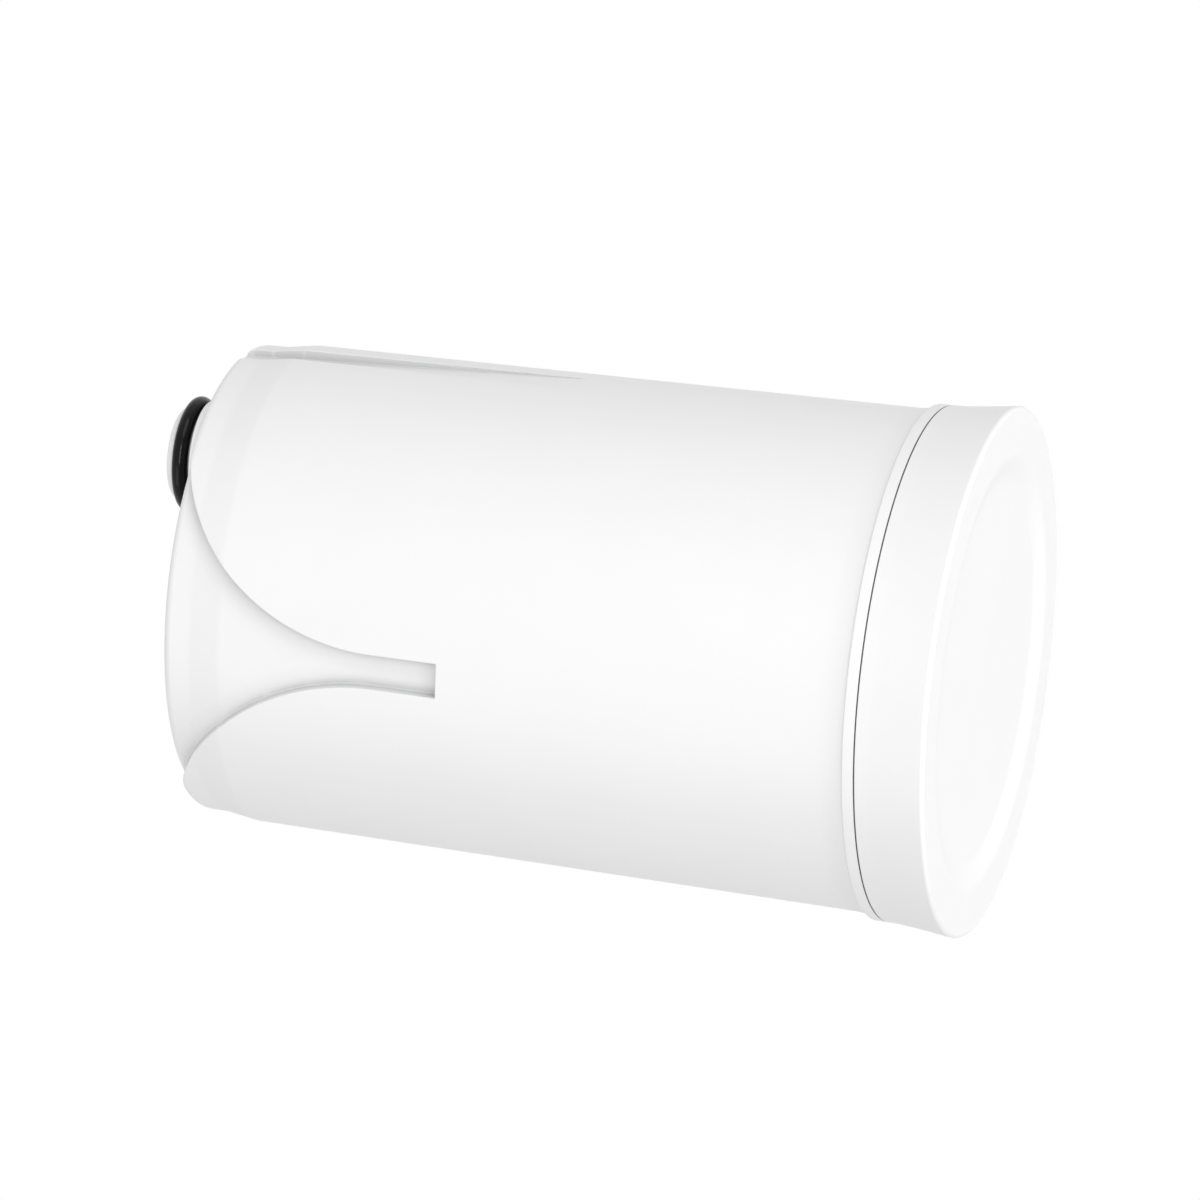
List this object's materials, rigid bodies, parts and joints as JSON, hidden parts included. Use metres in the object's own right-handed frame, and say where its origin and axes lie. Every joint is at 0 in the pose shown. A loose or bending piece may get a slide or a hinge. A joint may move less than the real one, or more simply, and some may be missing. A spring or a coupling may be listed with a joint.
{
  "type": "water filter cartridge",
  "caption": "Closed plastic water filter cartridge with a tapered housing, moulded guide recesses, a welded end cap and off-centre sealed ports over a hollow carbon block.",
  "frame": {"origin": "centre of the end cap's face, where the cartridge stands", "axes": "+Z along the cartridge from the end cap to the ports; angles run from -Y towards +X, with the outlet port at 64.5 degrees and the funnel guides at -18.5 and 161.5 degrees"},
  "size_m": [0.0606, 0.0606, 0.097],
  "materials": {
    "white_polypropylene": "fine moulded satin",
    "black_rubber": "smooth, slightly glossy",
    "screen_steel": "woven mesh",
    "activated_carbon": "sintered grain",
    "white_fleece": "nonwoven",
    "net_polyethylene": "extruded",
    "hot_melt": "waxy"
  },
  "bodies": {
    "root": {"housing_body": "white_polypropylene", "end_cap": "white_polypropylene", "cap_seal_ring": "black_rubber", "outlet_port_o_ring": "black_rubber", "inlet_port_o_ring": "black_rubber", "outlet_screen": "screen_steel", "inlet_screen": "screen_steel", "manifold_gasket": "black_rubber", "manifold_plate": "white_polypropylene", "neck_o_ring": "black_rubber", "outlet_end_plate": "white_polypropylene", "outlet_end_seal": "hot_melt", "carbon_block": "activated_carbon", "prefilter_fleece": "white_fleece", "netting_sleeve": "net_polyethylene", "core_fleece": "white_fleece", "core_tube": "white_polypropylene", "closed_end_seal": "hot_melt", "closed_end_plate": "white_polypropylene"}
  },
  "joints": []
}
